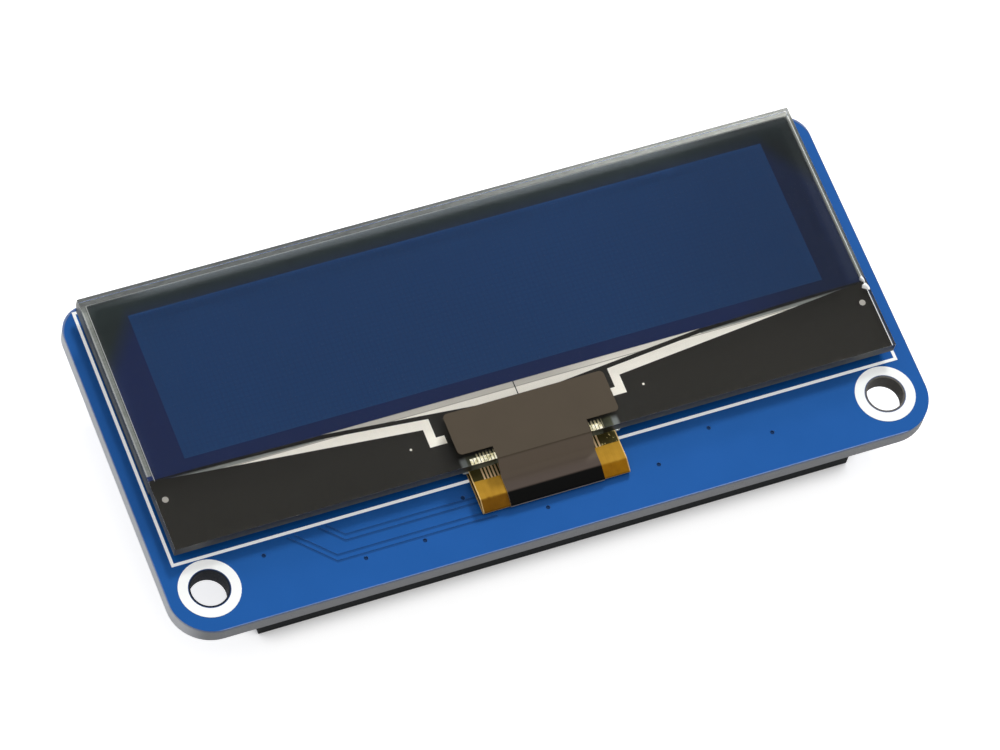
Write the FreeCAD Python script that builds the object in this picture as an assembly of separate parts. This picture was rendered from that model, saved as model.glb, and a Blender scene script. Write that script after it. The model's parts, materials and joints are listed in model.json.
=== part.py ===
import FreeCAD, Part
import math
import os
from FreeCAD import Vector

# A small display module: a bare glass panel glued on a blue circuit board, a folded flexible circuit
# at its front, and a low socket header under the front edge.
# The origin is midway between the two mounting holes, on the underside of the board.
# X runs along the long edge, Y from the header to the back, Z up out of the screen. Millimetres.

# Circuit board
hole_spacing = 58.0
hole_diameter = 3.0
hole_to_side_edge = 3.5
hole_to_front_edge = 3.7
board_back_margin = 0.3
board_thickness = 1.6
board_front_radius = 3.5
board_back_radius = 2.25
via_diameter = 0.35
via_dimple = 0.05
groove_width = 0.20
groove_depth = 0.02

# White print on the board
print_thickness = 0.02
ring_hole_margin = 0.2
ring_width = 0.8
outline_width = 0.25
outline_side_gap = 0.055
outline_front_gap = 0.27
outline_back_inset = 0.08

# Glass panel
panel_side_margin = 1.6
panel_depth = 23.1
panel_to_hole_line = 3.1
ledge_depth = 5.9
adhesive_thickness = 0.10
cap_glass_thickness = 0.70
cell_gap = 0.05
substrate_thickness = 1.00
cap_side_inset = 0.05
polarizer_thickness = 0.20
polarizer_side_inset = 0.45
polarizer_back_inset = 0.80
polarizer_front_overlap = 0.10
seal_width = 1.0
recess_depth = 0.30
recess_margin = 1.3
desiccant_thickness = 0.15
desiccant_margin = 1.0
adhesive_strip_width = 3.0
adhesive_edge_inset = 1.5

# Screen
screen_side_margin = 3.4
screen_back_margin = 2.25
screen_shift = 0.15
screen_to_ledge = 1.65

# Printed layers under the ledge glass
film_thickness = 0.02
film_edge_inset = 0.08
bus_corner_x = 7.70
bus_leg_width = 0.75
bus_leg_length = 2.45
bus_tab_reach = 0.70
bus_tab_height = 0.72
bus_band_width = 0.80
bus_tip_inset = 1.15
bus_tip_behind = 0.37
bus_top_drop = 0.74
lens_half_length = 16.5
lens_depth = 1.52
lens_behind = 0.35
lens_slot = 0.09
mark_diameter = 0.52
mark_side_inset = 0.90
mark_drop = 1.27
dot_diameter = 0.20
dot_x = 10.0
dot_drop = 2.90
bond_pad_length = 0.75
bond_pad_gap = 0.05
bond_pad_spares = 2

# Driver chip and flexible circuit
chip_length = 11.0
chip_width = 1.5
chip_height = 0.40
chip_to_front = 2.30
bond_thickness = 0.02
bond_inset = 0.60
bond_length = 1.20
flex_width = 12.6
flex_shift = 0.10
flex_thickness = 0.09
flex_crease_reach = 2.50
flex_crease_radius = 0.25
flex_nose_reach = 3.56
flex_nose_radius = 0.13
flex_tail_clearance = 1.35
flex_trace_count = 35
flex_trace_pitch = 0.29
flex_trace_width = 0.14
flex_trace_margin = 1.05
flex_trace_out = 1.00
flex_trace_height = 0.01

# Shielding tape
tape_thickness = 0.08
tape_width = 13.8
tape_shift = 0.15
tape_front_inset = 1.10
tape_back_margin = 1.05
tape_neck_width = 8.05
tape_corner_radius = 0.4
tape_landing = 1.6
tape_landing_radius = 1.0
tape_end_angle = 40.0

# Resin beads at the ends of the bond
resin_width = 0.50
resin_length = 1.30
resin_height = 0.13

# Pads
pad_thickness = 0.035
tail_pad_count = 24
tail_pad_pitch = 0.5
tail_pad_width = 0.3
tail_pad_length = 1.2

# Socket header
header_positions = 20
header_pitch = 2.54
header_end_wall = 0.05
header_height = 3.80
header_roof = 0.60
header_standoff = 0.15
header_shift = 0.15
header_chamfer = 0.08
socket_size = 1.00
socket_mouth = 0.20
slot_clearance = 0.05
contact_thickness = 0.18
contact_width = 0.60
contact_foot_reach = 0.60
contact_foot_width = 0.50
contact_foot_thickness = 0.12
solder_reach = 0.25
header_pad_width = 1.00
header_pad_margin = 0.30
header_pad_length = 2.10

# Small parts on the underside
lead_thickness = 0.12
lead_width = 0.40
lead_reach = 0.55
lead_knee = 0.25
lead_pitch = 0.95
lead_pad_width = 0.56
lead_pad_length = 0.66
lead_pad_out = 0.38
regulator_body_size = (2.9, 1.6, 1.10)
boost_body_size = (2.9, 1.6, 1.00)
inductor_body_size = (4.0, 4.0, 1.80)
diode_body_size = (2.7, 1.6, 1.10)
capacitor_body_size = (1.6, 0.8, 0.80)
bulk_capacitor_size = (2.0, 1.25, 1.25)
resistor_body_size = (1.6, 0.8, 0.45)
terminal_share = 0.20
terminal_wall = 0.02
component_pad_margin = 0.25

# Places of the small parts, from the ends of the board and from one another
regulator_inset = 10.5
regulator_row = 12.0
boost_step = 9.0
power_row = 15.5
inductor_step = 7.5
diode_step = 6.5
bulk_capacitor_step = 4.5
chip_part_step = 3.5
row_step = 4.0
boost_resistor_step = 3.7
pull_up_rise = 2.0
logic_row = 9.5
logic_inset = 8.5
capacitor_inset = 17.0
capacitor_pitch = 3.0
resistor_inset = 11.0
resistor_pitch = 2.5

# Levels and edges that follow from the sizes above
board_length = hole_spacing + 2 * hole_to_side_edge
board_front = -hole_to_front_edge
board_top = board_thickness
panel_width = board_length - 2 * panel_side_margin
panel_front = panel_to_hole_line
panel_back = panel_front + panel_depth
board_back = panel_back + board_back_margin
ring_inner_radius = hole_diameter / 2 + ring_hole_margin
ring_outer_radius = ring_inner_radius + ring_width
cap_front = panel_front + ledge_depth
cap_bottom = board_top + adhesive_thickness
cap_top = cap_bottom + cap_glass_thickness
substrate_bottom = cap_top + cell_gap
substrate_top = substrate_bottom + substrate_thickness
polarizer_front = cap_front + polarizer_front_overlap
film_bottom = substrate_bottom - film_thickness
flex_top = film_bottom - bond_thickness
flex_tail_bottom = board_top + pad_thickness
flex_tail_end = cap_front - flex_tail_clearance
bond_front = panel_front + bond_inset
chip_centre = panel_front + chip_to_front + chip_width / 2
screen_front = cap_front + screen_to_ledge
header_width = 2 * header_pitch
header_bottom = -header_standoff - header_height
header_top = -header_standoff
socket_floor = header_bottom + header_height - header_roof
contact_foot_end = header_width / 2 + contact_foot_reach
header_length = header_positions * header_pitch + 2 * header_end_wall

# Places on the board, measured from the origin
via_places = [
    (-24.0, 1.4),
    (-16.4, -1.2),
    (-11.4, -1.15),
    (-7.2, 1.45),
    (-1.0, -1.35),
    (8.9, -0.45),
    (14.0, 1.4),
    (18.8, -0.5),
]
groove_routes = [
    [(-19.05, 2.35), (-17.40, 0.69), (-5.2, 0.69)],
    [(-18.40, 2.35), (-17.24, 1.19), (-5.2, 1.19)],
    [(-21.70, 2.25), (-18.64, -0.81), (-5.2, -0.81)],
    [(-21.05, 2.25), (-18.48, -0.31), (-5.2, -0.31)],
]


def box(x0, y0, z0, x1, y1, z1):
    """A block between two opposite corners."""
    return Part.makeBox(x1 - x0, y1 - y0, z1 - z0, Vector(x0, y0, z0))


def centred_box(cx, cy, z0, size_x, size_y, z1):
    """A block centred on a point of the board, from level z0 to level z1."""
    return box(cx - size_x / 2, cy - size_y / 2, z0, cx + size_x / 2, cy + size_y / 2, z1)


def plate(points, z0, z1):
    """A flat plate with the outline that the corner points give."""
    corners = [Vector(x, y, z0) for x, y in points]
    outline = Part.makePolygon(corners + corners[:1])
    return Part.Face(outline).extrude(Vector(0, 0, z1 - z0))


def round_edges(solid, chosen, radius):
    """The solid with the upright edges rounded whose middle point passes the test."""
    edges = [e for e in solid.Edges if upright(e) and chosen(e.CenterOfMass)]
    return solid.makeFillet(radius, edges)


def upright(edge):
    """True for a straight edge that runs along Z."""
    along = edge.Vertexes[-1].Point - edge.Vertexes[0].Point
    return abs(along.x) < 1e-6 and abs(along.y) < 1e-6 and abs(along.z) > 1e-6


def group(solids):
    """Separate solids in one node."""
    return Part.makeCompound(solids)


def mirrored(points):
    """The same outline on the other side of the middle."""
    return [(-x, y) for x, y in points]


def hole_centres():
    """The two mounting holes."""
    return [(-hole_spacing / 2, 0.0), (hole_spacing / 2, 0.0)]


def groove_cutters(points):
    """Cutters of the shallow groove beside a copper run, with round corners and ends."""
    z0 = board_top - groove_depth
    z1 = board_top + groove_depth
    pieces = []
    for (ax, ay), (bx, by) in zip(points, points[1:]):
        length = math.hypot(bx - ax, by - ay)
        run = box(0, -groove_width / 2, z0, length, groove_width / 2, z1)
        run.rotate(Vector(0, 0, 0), Vector(0, 0, 1), math.degrees(math.atan2(by - ay, bx - ax)))
        run.translate(Vector(ax, ay, 0))
        pieces.append(run)
    for x, y in points:
        pieces.append(Part.makeCylinder(groove_width / 2, z1 - z0, Vector(x, y, z0)))
    return pieces


def board_slab(z0, z1):
    """The plan of the board with its rounded corners, from level z0 to level z1."""
    half = board_length / 2
    slab = box(-half, board_front, z0, half, board_back, z1)
    slab = round_edges(slab, lambda p: p.y == board_front, board_front_radius)
    return round_edges(slab, lambda p: abs(p.y - board_back) < 1e-6, board_back_radius)


def make_circuit_board():
    """Laminate with rounded corners, two holes, grooves beside the copper runs and filled vias."""
    board = board_slab(0, board_thickness)
    cuts = [piece for route in groove_routes for piece in groove_cutters(route)]
    for x, y in hole_centres():
        cuts.append(Part.makeCylinder(hole_diameter / 2, board_thickness, Vector(x, y, 0)))
    for x, y in via_places:
        base = Vector(x, y, board_top - via_dimple)
        cuts.append(Part.makeCylinder(via_diameter / 2, 2 * via_dimple, base))
    return board.cut(cuts).removeSplitter()


def make_screen_print():
    """White rings round the holes and a thin outline round the panel."""
    z0 = board_top
    z1 = board_top + print_thickness
    solids = []
    for x, y in hole_centres():
        outer = Part.makeCylinder(ring_outer_radius, print_thickness, Vector(x, y, z0))
        inner = Part.makeCylinder(ring_inner_radius, print_thickness, Vector(x, y, z0))
        solids.append(outer.cut(inner))
    inner_half = panel_width / 2 + outline_side_gap
    inner_front = panel_front - outline_front_gap
    inner_back = panel_back - outline_back_inset - outline_width
    w = outline_width
    frame = box(-inner_half - w, inner_front - w, z0, inner_half + w, inner_back + w, z1)
    frame = frame.cut(box(-inner_half, inner_front, z0, inner_half, inner_back, z1))
    for x, y in hole_centres():
        clear = ring_outer_radius + print_thickness
        frame = frame.cut(Part.makeCylinder(clear, print_thickness, Vector(x, y, z0)))
    return group(solids + frame.common(board_slab(z0, z1)).Solids)


def make_panel_adhesive():
    """Two strips of double-sided adhesive under the cap glass."""
    half = panel_width / 2 - cap_side_inset - adhesive_edge_inset
    front = cap_front + adhesive_edge_inset
    back = panel_back - cap_side_inset - adhesive_edge_inset
    w = adhesive_strip_width
    strips = [
        box(-half, front, board_top, half, front + w, cap_bottom),
        box(-half, back - w, board_top, half, back, cap_bottom),
    ]
    return group(strips)


def cap_outline():
    """Left, front, right and back edges of the cap glass."""
    half = panel_width / 2 - cap_side_inset
    return -half, cap_front, half, panel_back - cap_side_inset


def make_cap_glass():
    """Lower glass with a shallow recess that faces the pixels."""
    x0, y0, x1, y1 = cap_outline()
    m = seal_width + recess_margin
    cap = box(x0, y0, cap_bottom, x1, y1, cap_top)
    recess = box(x0 + m, y0 + m, cap_top - recess_depth, x1 - m, y1 - m, cap_top)
    return cap.cut(recess)


def make_desiccant_sheet():
    """Thin drying sheet on the floor of the recess."""
    x0, y0, x1, y1 = cap_outline()
    m = seal_width + recess_margin + desiccant_margin
    z0 = cap_top - recess_depth
    return box(x0 + m, y0 + m, z0, x1 - m, y1 - m, z0 + desiccant_thickness)


def make_substrate_glass():
    """Upper glass over the whole panel."""
    half = panel_width / 2
    return box(-half, panel_front, substrate_bottom, half, panel_back, substrate_top)


def make_polarizer():
    """Polarizing film on top of the glass, over the screen."""
    half = panel_width / 2 - polarizer_side_inset
    back = panel_back - polarizer_back_inset
    z1 = substrate_top + polarizer_thickness
    return box(-half, polarizer_front, substrate_top, half, back, z1)


def make_pixel_matrix():
    """Light-giving layer on the underside of the upper glass."""
    half = panel_width / 2 - screen_side_margin
    x0 = screen_shift - half
    x1 = screen_shift + half
    return box(x0, screen_front, film_bottom, x1, panel_back - screen_back_margin, substrate_bottom)


def make_electrode_film():
    """Dark field of electrode lines round the screen, out to the seal."""
    x0, y0, x1, y1 = cap_outline()
    w = seal_width
    field = box(x0 + w, y0 + w, film_bottom, x1 - w, y1 - w, substrate_bottom)
    return field.cut(make_pixel_matrix())


def bus_band_points():
    """Outline of the pale bus track on the right: a long wedge, a leg and a tab."""
    top = cap_front - bus_top_drop
    leg = bus_corner_x + bus_leg_width
    foot = top - bus_leg_length
    far = cap_front + polarizer_front_overlap + bus_tip_behind
    tip = panel_width / 2 - bus_tip_inset
    rise = (far - top + bus_band_width) / (tip - leg)
    return [
        (bus_corner_x, top),
        (lens_half_length, top + rise * (lens_half_length - bus_corner_x)),
        (tip, far),
        (leg, top - bus_band_width),
        (leg, foot),
        (bus_corner_x - bus_tab_reach, foot),
        (bus_corner_x - bus_tab_reach, foot + bus_tab_height),
        (bus_corner_x, foot + bus_tab_height),
    ]


def lens_points():
    """Outline of the right half of the pale lens at the middle."""
    far = cap_front + polarizer_front_overlap + lens_behind
    return [
        (lens_slot / 2, far - lens_depth),
        (lens_half_length, far),
        (lens_slot / 2, far),
    ]


def window_prisms():
    """The pale shapes: two halves of the lens and a bus track on each side."""
    shapes = []
    for points in (bus_band_points(), lens_points()):
        shapes.append(plate(points, film_bottom, substrate_bottom))
        shapes.append(plate(mirrored(points), film_bottom, substrate_bottom))
    return shapes


def mark_prisms():
    """Round alignment marks: two large ones at the sides and two small ones by the tape."""
    mark_x = panel_width / 2 - mark_side_inset
    marks = []
    for side in (-1, 1):
        for x, drop, diameter in ((mark_x, mark_drop, mark_diameter), (dot_x, dot_drop, dot_diameter)):
            base = Vector(side * x, cap_front - drop, film_bottom)
            marks.append(Part.makeCylinder(diameter / 2, film_thickness, base))
    return marks


def line_centres(spares):
    """Centres of the lines on the flexible circuit, with spare places at each end."""
    first = flex_shift - flex_width / 2 + flex_trace_margin
    return [first + i * flex_trace_pitch for i in range(-spares, flex_trace_count + spares)]


def bond_pad_prisms():
    """Pads under the front edge of the glass that the flexible circuit is bonded to."""
    y0 = panel_front + film_edge_inset
    w = (flex_trace_pitch - bond_pad_gap) / 2
    pads = []
    for cx in line_centres(bond_pad_spares):
        pads.append(box(cx - w, y0, film_bottom, cx + w, y0 + bond_pad_length, substrate_bottom))
    return pads


def film_area():
    """The whole printed area under the ledge glass, back to the inner edge of the seal."""
    half = panel_width / 2 - film_edge_inset
    front = panel_front + film_edge_inset
    return box(-half, front, film_bottom, half, cap_front + seal_width, substrate_bottom)


def make_fanout_film():
    """Dark field of fine lines under the ledge, with the pale shapes left open."""
    return film_area().cut(window_prisms() + mark_prisms() + bond_pad_prisms())


def make_bus_tracks():
    """Pale metal shapes, marks and pads in the openings of the dark field, up to the cap glass."""
    half = panel_width / 2
    ledge = box(-half, panel_front, film_bottom, half, cap_front, substrate_bottom)
    solids = [shape.common(ledge) for shape in window_prisms()]
    return group([s for shape in solids for s in shape.Solids] + mark_prisms() + bond_pad_prisms())


def make_edge_seal():
    """Ring of sealing resin between the two glasses."""
    x0, y0, x1, y1 = cap_outline()
    w = seal_width
    ring = box(x0, y0, cap_top, x1, y1, substrate_bottom)
    ring = ring.cut(box(x0 + w, y0 + w, cap_top, x1 - w, y1 - w, substrate_bottom))
    return ring.cut(film_area())


def make_driver_chip():
    """Bare driver chip bonded under the ledge glass."""
    return centred_box(
        flex_shift, chip_centre, flex_top - chip_height, chip_length, chip_width, flex_top
    )


def make_bond_film():
    """Conductive films that bond the flexible circuit and the chip to the glass."""
    x = flex_shift
    cy = bond_front + bond_length / 2
    flex_bond = centred_box(x, cy, flex_top, flex_width, bond_length, film_bottom)
    chip_bond = centred_box(x, chip_centre, flex_top, chip_length, chip_width, film_bottom)
    return group([flex_bond, chip_bond])


def fold_geometry():
    """Centres, radii and the common outer normal of the crease and the nose of the fold."""
    half = flex_thickness / 2
    crease = (panel_front - flex_crease_reach, flex_top - half - flex_crease_radius)
    nose_z = flex_tail_bottom + half + flex_nose_radius
    nose = (panel_front - flex_nose_reach + flex_nose_radius + half, nose_z)
    dy = nose[0] - crease[0]
    dz = nose[1] - crease[1]
    distance = math.hypot(dy, dz)
    along = math.atan2(dz, dy) % (2 * math.pi)
    normal = along - math.acos((flex_crease_radius - flex_nose_radius) / distance)
    return crease, nose, normal


def on_circle(centre, radius, angle):
    """Point on a circle in the YZ plane; the angle is measured from +Y towards +Z."""
    return Vector(0, centre[0] + radius * math.cos(angle), centre[1] + radius * math.sin(angle))


def arc(centre, radius, start, end):
    """Circular edge in the YZ plane."""
    points = [on_circle(centre, radius, a) for a in (start, (start + end) / 2, end)]
    return Part.Arc(*points).toShape()


def fold_edges(offset, start, end, last_angle):
    """Edges of a surface that follows the fold, at a distance outside the middle of the film.

    The path comes from start along the top, round the crease, down to the nose and round it to
    last_angle, and then goes to end if that is given.
    """
    crease, nose, normal = fold_geometry()
    r1 = flex_crease_radius + offset
    r2 = flex_nose_radius + offset
    up = math.pi / 2
    edges = [
        Part.makeLine(start, on_circle(crease, r1, up)),
        arc(crease, r1, up, normal),
        Part.makeLine(on_circle(crease, r1, normal), on_circle(nose, r2, normal)),
        arc(nose, r2, normal, last_angle),
    ]
    if end is not None:
        edges.append(Part.makeLine(on_circle(nose, r2, last_angle), end))
    return edges


def closed_profile(outer, inner, x0, x1):
    """Solid between two edge paths that run the same way, drawn out along X."""
    first = Part.makeLine(outer[0].Vertexes[0].Point, inner[0].Vertexes[0].Point)
    last = Part.makeLine(outer[-1].Vertexes[-1].Point, inner[-1].Vertexes[-1].Point)
    wire = Part.Wire(Part.sortEdges(outer + inner + [first, last])[0])
    solid = Part.Face(wire).extrude(Vector(x1 - x0, 0, 0))
    solid.translate(Vector(x0, 0, 0))
    return solid


def make_display_flex():
    """Amber film: bonded under the ledge, creased, folded back and soldered to the board."""
    half = flex_thickness / 2
    top_end = bond_front + bond_length
    down = 3 * math.pi / 2
    paths = []
    for offset in (half, -half):
        start = Vector(0, top_end, flex_top - half + offset)
        end = Vector(0, flex_tail_end, flex_tail_bottom + half - offset)
        paths.append(fold_edges(offset, start, end, down))
    x0 = flex_shift - flex_width / 2
    return closed_profile(paths[0], paths[1], x0, x0 + flex_width)


def make_flex_traces():
    """Copper lines on the film, bare where it leaves the glass."""
    y0 = panel_front - flex_trace_out
    y1 = bond_front
    w = flex_trace_width / 2
    solids = []
    for cx in line_centres(0):
        solids.append(box(cx - w, y0, flex_top, cx + w, y1, flex_top + flex_trace_height))
    return group(solids)


def draped_edges(back, height):
    """Edges from the glass over its front edge and down onto the film, at a height above both.

    They lead from back straight to the edge of the glass, round it, down a slope and through a
    hollow curve onto the film.
    """
    corner = (panel_front, substrate_top)
    landing = (panel_front - tape_landing, flex_top + tape_landing_radius)
    dy = corner[0] - landing[0]
    dz = corner[1] - landing[1]
    slope = math.atan2(dz, dy) + math.asin(tape_landing_radius / math.hypot(dy, dz))
    up = math.pi / 2
    down = 3 * math.pi / 2
    hollow = tape_landing_radius - height
    edges = [Part.makeLine(Vector(0, back, substrate_top + height), on_circle(corner, height, up))]
    if height > 0:
        edges.append(arc(corner, height, up, up + slope))
    top_of_slope = on_circle(corner, height, up + slope)
    edges.append(Part.makeLine(top_of_slope, on_circle(landing, hollow, down + slope)))
    edges.append(arc(landing, hollow, down + slope, down))
    return edges


def make_shield_tape():
    """Brown tape: a wide part on the ledge glass and a neck that drapes over the fold."""
    t = tape_thickness
    x0 = tape_shift - tape_width / 2
    front = panel_front + tape_front_inset
    back = cap_front - tape_back_margin
    wide = box(x0, front, substrate_top, x0 + tape_width, back, substrate_top + t)
    wide = round_edges(wide, lambda p: True, tape_corner_radius)
    end_angle = math.radians(180 + tape_end_angle)
    paths = []
    for height in (t, 0):
        edges = draped_edges(front + t, height)
        start = Vector(0, panel_front - tape_landing, flex_top + height)
        paths.append(edges + fold_edges(flex_thickness / 2 + height, start, None, end_angle))
    neck_x = tape_shift - tape_neck_width / 2
    neck = closed_profile(paths[0], paths[1], neck_x, neck_x + tape_neck_width)
    return wide.fuse(neck).removeSplitter()


def make_bond_resin():
    """Clear resin beads beside the film, under the front edge of the glass."""
    z1 = film_bottom
    z0 = z1 - resin_height
    y0 = panel_front - film_edge_inset
    beads = []
    for side in (-1, 1):
        x0 = flex_shift + side * flex_width / 2
        x1 = x0 + side * resin_width
        bead = box(min(x0, x1), y0, z0, max(x0, x1), y0 + resin_length, z1)
        beads.append(round_edges(bead, lambda p, far=x1: abs(p.x - far) < 1e-6, resin_width / 2))
    return group(beads)


def make_tail_pads():
    """Pads under the tail of the flexible circuit."""
    first = flex_shift - (tail_pad_count - 1) * tail_pad_pitch / 2
    cy = flex_tail_end - tail_pad_length / 2
    z1 = flex_tail_bottom
    solids = []
    for i in range(tail_pad_count):
        cx = first + i * tail_pad_pitch
        solids.append(centred_box(cx, cy, board_top, tail_pad_width, tail_pad_length, z1))
    return group(solids)


def socket_centres():
    """Centres of the sockets with the side, -1 front or 1 back, that each row faces."""
    first = header_shift - (header_positions - 1) * header_pitch / 2
    for side in (-1, 1):
        for i in range(header_positions):
            yield first + i * header_pitch, side * header_pitch / 2, side


def square_mouth(x, y):
    """Pyramid-shaped lead-in of a socket."""
    rings = []
    inner = socket_size / 2
    for k, z in ((inner + socket_mouth, header_bottom), (inner, header_bottom + socket_mouth)):
        corners = [Vector(x + a * k, y + b * k, z) for a, b in ((-1, -1), (1, -1), (1, 1), (-1, 1))]
        rings.append(Part.makePolygon(corners + corners[:1]))
    return Part.makeLoft(rings, True, True)


def make_header_body():
    """Black socket housing with square sockets that open downwards."""
    body = centred_box(header_shift, 0, header_bottom, header_length, header_width, header_top)
    lower = [e for e in body.Edges if abs(e.CenterOfMass.z - header_bottom) < 1e-6]
    body = body.makeChamfer(header_chamfer, lower)
    slot_width = contact_foot_width + 2 * slot_clearance
    cuts = []
    for x, y, side in socket_centres():
        cuts.append(centred_box(x, y, header_bottom, socket_size, socket_size, socket_floor))
        cuts.append(square_mouth(x, y))
        low, high = sorted((y - side * contact_thickness / 2, side * header_width / 2))
        w = slot_width / 2
        cuts.append(box(x - w, low, socket_floor, x + w, high, header_top))
    return body.cut(cuts)


def make_contact(x, y, side):
    """Forked contact: two tines in its socket and a foot that reaches out to its pad."""
    t = contact_thickness
    w = contact_width / 2
    f = contact_foot_width / 2
    s = socket_size / 2
    z_foot = -pad_thickness
    low, high = sorted((y - side * t / 2, side * contact_foot_end))
    foot = box(x - f, low, z_foot - contact_foot_thickness, x + f, high, z_foot)
    stem = box(x - f, y - t / 2, socket_floor, x + f, y + t / 2, z_foot)
    base = box(x - w, y - s, socket_floor - t, x + w, y + s, socket_floor)
    tip = header_bottom + 2 * socket_mouth
    front_tine = box(x - w, y - s, tip, x + w, y - s + t, socket_floor)
    back_tine = box(x - w, y + s - t, tip, x + w, y + s, socket_floor)
    return foot.fuse([stem, base, front_tine, back_tine]).removeSplitter()


def make_header_contacts():
    """All contacts of the header."""
    return group([make_contact(x, y, side) for x, y, side in socket_centres()])


def make_header_pads():
    """Pads for the feet of the header."""
    solids = []
    for x, y, side in socket_centres():
        cy = side * (contact_foot_end + header_pad_margin - header_pad_length / 2)
        solids.append(centred_box(x, cy, -pad_thickness, header_pad_width, header_pad_length, 0))
    return group(solids)


def make_header_solder():
    """Solder fillets at the ends of the feet."""
    z0 = -pad_thickness
    solids = []
    for x, y, side in socket_centres():
        end = side * contact_foot_end
        w = contact_foot_width / 2
        corners = [
            Vector(x - w, end, z0),
            Vector(x - w, end + side * solder_reach, z0),
            Vector(x - w, end, z0 - contact_foot_thickness),
        ]
        face = Part.Face(Part.makePolygon(corners + corners[:1]))
        solids.append(face.extrude(Vector(contact_foot_width, 0, 0)))
    return group(solids)


# Places of the small parts on the underside: x, y, and 1 where the part is turned by 90 degrees.
# The power parts follow one another from the left end of the board, the rest from the right end.
regulator_place = (-board_length / 2 + regulator_inset, regulator_row)
boost_place = (regulator_place[0] + boost_step, power_row)
inductor_place = (boost_place[0] + inductor_step, power_row)
diode_place = (inductor_place[0] + diode_step, power_row)
bulk_place = diode_place[0] + bulk_capacitor_step
logic_place = board_length / 2 - logic_inset
filter_place = board_length / 2 - capacitor_inset
ladder_place = board_length / 2 - resistor_inset
capacitor_places = [
    (regulator_place[0] - chip_part_step, regulator_row, 1),
    (regulator_place[0] + chip_part_step, regulator_row, 1),
    (boost_place[0] + chip_part_step, power_row - row_step, 0),
    (filter_place - 2 * capacitor_pitch, logic_row, 1),
    (filter_place - capacitor_pitch, logic_row, 1),
    (filter_place, logic_row, 1),
]
bulk_capacitor_places = [
    (boost_place[0], power_row + row_step, 0),
    (bulk_place, power_row, 1),
    (bulk_place + chip_part_step, power_row, 1),
]
resistor_places = [
    (ladder_place - 3 * resistor_pitch, power_row, 1),
    (ladder_place - 2 * resistor_pitch, power_row, 1),
    (ladder_place - resistor_pitch, power_row, 1),
    (ladder_place, power_row, 1),
    (logic_place - chip_part_step, logic_row, 0),
    (logic_place, logic_row, 0),
    (boost_place[0] - row_step, power_row + pull_up_rise, 1),
    (boost_place[0] + boost_resistor_step, power_row + row_step, 0),
]


def bent_lead(x, inner, side, middle):
    """One lead: a shoulder out of the body, a leg up and a foot on the pad."""
    w = lead_width / 2
    t = lead_thickness
    z0 = -pad_thickness
    knee = inner + side * lead_knee
    low, high = sorted((inner, knee))
    shoulder = box(x - w, low, middle - t / 2, x + w, high, middle + t / 2)
    low, high = sorted((knee - side * t, knee))
    leg = box(x - w, low, middle - t / 2, x + w, high, z0)
    low, high = sorted((knee - side * t, inner + side * lead_reach))
    foot = box(x - w, low, z0 - t, x + w, high, z0)
    return shoulder.fuse([leg, foot]).removeSplitter()


def small_leads(place, size, columns):
    """Leads of a small chip package; columns lists the side and the column of each lead."""
    cx, cy = place
    middle = -pad_thickness - size[2] / 2
    leads = []
    for side, column in columns:
        leads.append(bent_lead(cx + column * lead_pitch, cy + side * size[1] / 2, side, middle))
    return group(leads)


regulator_columns = [(-1, -1), (-1, 0), (-1, 1), (1, -1), (1, 1)]
boost_columns = [(-1, -1), (-1, 0), (-1, 1), (1, -1), (1, 0), (1, 1)]


def chip_package(place, size):
    """Moulded package that stands a lead's thickness off its pads, with bevelled edges."""
    z1 = -pad_thickness - lead_thickness / 2
    body = centred_box(place[0], place[1], -pad_thickness - size[2], size[0], size[1], z1)
    lower = [e for e in body.Edges if abs(e.CenterOfMass.z + pad_thickness + size[2]) < 1e-6]
    return body.makeChamfer(lead_thickness, lower)


def turned(size, turn):
    """Length and width of a part, swapped where it is turned by 90 degrees."""
    return (size[1], size[0]) if turn else (size[0], size[1])


def two_terminal(place, size):
    """Body and two end terminals of a chip part; the terminals wrap the ends of the body."""
    x, y, turn = place
    length, width, height = size
    z1 = -pad_thickness
    end = length * terminal_share
    w = terminal_wall
    half_x = length / 2 - w
    half_y = width / 2 - w
    body = box(-half_x, -half_y, z1 - height + w, half_x, half_y, z1 - w)
    ends = []
    for side in (-1, 1):
        low, high = sorted((side * length / 2, side * (length / 2 - end)))
        ends.append(box(low, -width / 2, z1 - height, high, width / 2, z1).cut(body))
    for piece in [body] + ends:
        if turn:
            piece.rotate(Vector(0, 0, 0), Vector(0, 0, 1), 90)
        piece.translate(Vector(x, y, 0))
    return body, ends


def two_terminal_group(parts):
    """Bodies and terminals of several chip parts."""
    bodies = []
    ends = []
    for place, size in parts:
        body, pair = two_terminal(place, size)
        bodies.append(body)
        ends.extend(pair)
    return group(bodies), group(ends)


def capacitor_parts():
    """Every ceramic capacitor with its size."""
    small = [(place, capacitor_body_size) for place in capacitor_places]
    bulk = [(place, bulk_capacitor_size) for place in bulk_capacitor_places]
    return small + bulk


def resistor_parts():
    """Every chip resistor with its size."""
    return [(place, resistor_body_size) for place in resistor_places]


def make_component_pads():
    """Solder pads under every small part."""
    z0 = -pad_thickness
    pads = []
    inductor = [((*inductor_place, 0), inductor_body_size)]
    diode = [((*diode_place, 0), diode_body_size)]
    for (x, y, turn), size in capacitor_parts() + resistor_parts() + inductor + diode:
        pad_length = size[0] * terminal_share + component_pad_margin
        reach = (size[0] + component_pad_margin) / 2 - pad_length / 2 + component_pad_margin / 2
        for side in (-1, 1):
            dx, dy = (0, side * reach) if turn else (side * reach, 0)
            px, py = turned((pad_length, size[1]), turn)
            pads.append(centred_box(x + dx, y + dy, z0, px, py, 0))
    packages = (
        (regulator_place, regulator_body_size, regulator_columns),
        (boost_place, boost_body_size, boost_columns),
    )
    for (cx, cy), size, columns in packages:
        for side, column in columns:
            py = cy + side * (size[1] / 2 + lead_pad_out)
            x = cx + column * lead_pitch
            pads.append(centred_box(x, py, z0, lead_pad_width, lead_pad_length, 0))
    return group(pads)


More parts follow.
